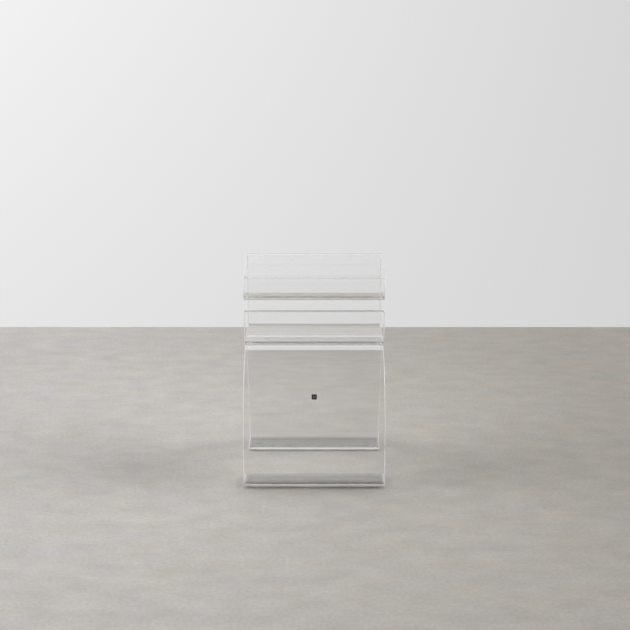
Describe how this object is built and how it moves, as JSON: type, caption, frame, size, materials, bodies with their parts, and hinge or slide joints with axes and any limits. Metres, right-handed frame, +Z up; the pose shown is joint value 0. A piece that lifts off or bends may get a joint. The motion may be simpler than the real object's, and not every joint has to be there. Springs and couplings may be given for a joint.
{
  "type": "magazine rack",
  "caption": "Clear acrylic magazine rack: a bent pocket with a rolled nose, standing on a bent base with splayed legs.",
  "frame": {"origin": "centre of the bounding footprint, on the floor", "axes": "+X across the width to the viewer's right, -Y to the front, +Z up"},
  "size_m": [0.3, 0.296, 0.459],
  "materials": {
    "clear_acrylic": "polished",
    "badge": "gloss",
    "clear_rubber": "satin"
  },
  "bodies": {
    "root": {"base_sheet": "clear_acrylic", "body_sheet": "clear_acrylic", "badge": "badge", "bumper_front_left": "clear_rubber", "bumper_front_right": "clear_rubber", "bumper_rear_left": "clear_rubber", "bumper_rear_right": "clear_rubber"}
  },
  "joints": []
}
